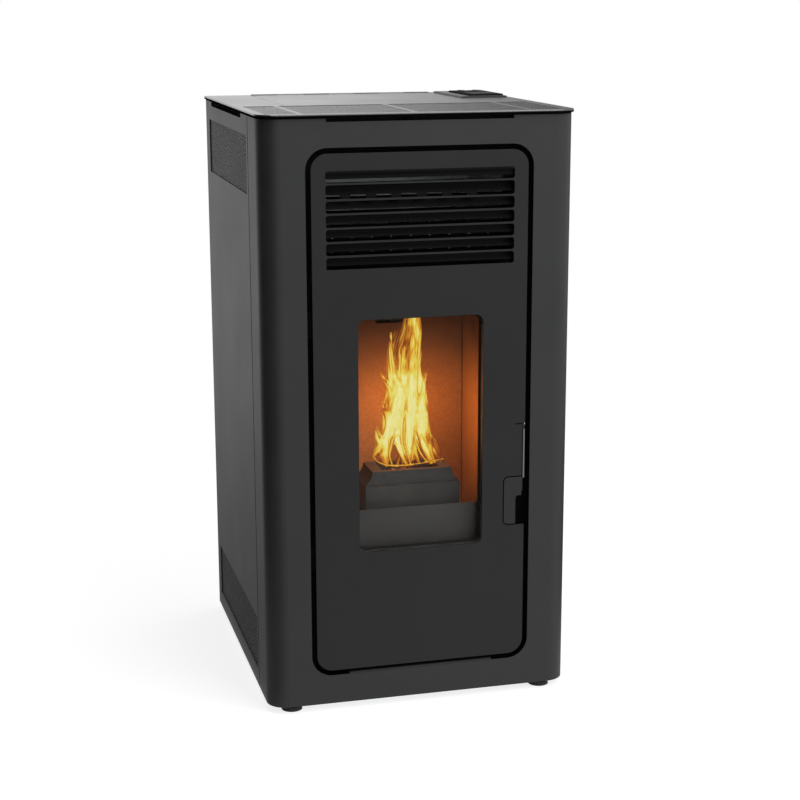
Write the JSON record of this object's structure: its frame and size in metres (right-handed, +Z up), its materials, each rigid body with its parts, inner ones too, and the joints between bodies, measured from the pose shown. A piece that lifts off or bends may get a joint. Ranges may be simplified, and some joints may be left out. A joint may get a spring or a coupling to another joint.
{
  "type": "pellet stove",
  "caption": "Free-standing pellet stove: glazed door with louvre and latch handle, firebox and burn pot, lidded hopper with auger feed, fans, ash pan, key panel and rear flue spigot.",
  "frame": {"origin": "centre of the footprint of the whole stove at floor level", "axes": "+X to the viewer's right when facing the door, +Y from the door towards the back, +Z up"},
  "size_m": [0.5052, 0.5754, 0.9585],
  "materials": {
    "case_paint": "satin anthracite stove paint",
    "lid_paint": "satin anthracite stove paint",
    "door_paint": "semi-gloss black stove enamel",
    "black_sheet": "matt black heat-resistant paint",
    "bulkhead_paint": "matt black heat-resistant paint",
    "cast_black": "fine sand-cast surface, matt black paint",
    "cast_grey": "bare cast iron, heat stained",
    "firebox_steel": "matt black heat-resistant paint on steel",
    "firebrick": "pressed vermiculite, slightly rough",
    "rope": "braided glass-fibre rope",
    "ceramic_glass": "clear fire-resistant ceramic glass",
    "bright_steel": "plain steel",
    "zinc_sheet": "zinc-coated sheet steel",
    "motor_body": "grey motor lacquer",
    "fan_wheel": "mill finish",
    "fin_block": "cast, blasted",
    "pipe_black": "matt black pipe enamel",
    "foot_black": "moulded pad on a zinc stud",
    "panel_plastic": "gloss moulded housing",
    "display_plastic": "smoked window",
    "button_plastic": "soft-touch keys",
    "board_green": "solder-masked circuit board",
    "inlet_plastic": "black moulded plastic"
  },
  "bodies": {
    "stove": {"front_surround": "case_paint", "left_side_panel": "case_paint", "right_side_panel": "case_paint", "side_meshes": "case_paint", "top_plate": "case_paint", "top_grilles": "case_paint", "lid_hinge": "case_paint", "hinge_brackets": "black_sheet", "latch_keeper": "black_sheet", "bulkhead": "bulkhead_paint", "ash_guard": "bulkhead_paint", "burn_pot": "cast_grey", "burn_pot_holder": "cast_grey", "firebox_shell": "firebox_steel", "ash_pan": "firebox_steel", "side_firebricks": "firebrick", "back_firebrick": "firebrick", "flame_baffle": "firebrick", "hinge_pins": "bright_steel", "case_screws": "bright_steel", "igniter": "bright_steel", "base_tray": "zinc_sheet", "rear_panel": "zinc_sheet", "hopper": "zinc_sheet", "hopper_grid": "zinc_sheet", "auger_tube": "zinc_sheet", "warm_air_duct": "zinc_sheet", "room_fan_housing": "zinc_sheet", "smoke_box": "zinc_sheet", "smoke_fan_housing": "zinc_sheet", "auger_gearmotor": "motor_body", "room_fan_motor": "motor_body", "smoke_fan_motor": "motor_body", "heat_exchanger": "fin_block", "flue_spigot": "pipe_black", "air_intake_pipe": "pipe_black", "levelling_feet": "foot_black", "control_panel": "panel_plastic", "display_window": "display_plastic", "control_board": "board_green", "mains_socket": "inlet_plastic", "safety_thermostat": "inlet_plastic"},
    "door": {"door_skin": "door_paint", "louvre_blades": "black_sheet", "door_frame": "cast_black", "door_rope_seal": "rope", "door_glass": "ceramic_glass", "glass_gasket": "rope", "glass_clips": "bright_steel", "handle_pivot": "black_sheet"},
    "door_handle": {"handle_lever": "bright_steel"},
    "lid": {"hopper_lid": "lid_paint"},
    "auger": {"auger_screw": "zinc_sheet"},
    "smoke_fan": {"smoke_fan_impeller": "fan_wheel"},
    "room_fan": {"room_fan_impeller": "fan_wheel"},
    "main_switch": {"power_switch": "inlet_plastic"},
    "down_key": {"button_down": "button_plastic"},
    "up_key": {"button_up": "button_plastic"},
    "menu_key": {"button_menu": "button_plastic"},
    "power_key": {"button_power": "button_plastic"}
  },
  "joints": [
    {"name": "door_swing", "type": "hinge", "parent": "stove", "child": "door", "pos_m": [-0.161, -0.2748, 0.442], "axis": [0, 0, -1], "range_deg": [0, 95]},
    {"name": "handle_lift", "type": "hinge", "parent": "door", "child": "door_handle", "pos_m": [0.17, -0.2733, 0.4545], "axis": [-1, 0, 0], "range_deg": [0, 30]},
    {"name": "lid_lift", "type": "hinge", "parent": "stove", "child": "lid", "pos_m": [-0.007, 0.2392, 0.9515], "axis": [-1, 0, 0], "range_deg": [0, 85]},
    {"name": "auger_turn", "type": "hinge", "parent": "stove", "child": "auger", "pos_m": [0, 0.0637, 0.702], "axis": [0, 1, 0], "continuous": true},
    {"name": "smoke_fan_spin", "type": "hinge", "parent": "stove", "child": "smoke_fan", "pos_m": [-0.09, 0.0677, 0.172], "axis": [0, 0, 1], "continuous": true},
    {"name": "room_fan_spin", "type": "hinge", "parent": "stove", "child": "room_fan", "pos_m": [0, 0.0087, 0.363], "axis": [1, 0, 0], "continuous": true},
    {"name": "main_switch_rock", "type": "hinge", "parent": "stove", "child": "main_switch", "pos_m": [0.15, 0.2445, 0.136], "axis": [-1, 0, 0], "range_deg": [0, 16]},
    {"name": "down_key_press", "type": "slide", "parent": "stove", "child": "down_key", "axis": [0, 0, -1], "range_m": [0, 0.001], "stiffness_N_per_m": 600, "springref_m": -0.0005},
    {"name": "up_key_press", "type": "slide", "parent": "stove", "child": "up_key", "axis": [0, 0, -1], "range_m": [0, 0.001], "stiffness_N_per_m": 600, "springref_m": -0.0005},
    {"name": "menu_key_press", "type": "slide", "parent": "stove", "child": "menu_key", "axis": [0, 0, -1], "range_m": [0, 0.001], "stiffness_N_per_m": 600, "springref_m": -0.0005},
    {"name": "power_key_press", "type": "slide", "parent": "stove", "child": "power_key", "axis": [0, 0, -1], "range_m": [0, 0.001], "stiffness_N_per_m": 600, "springref_m": -0.0005}
  ]
}
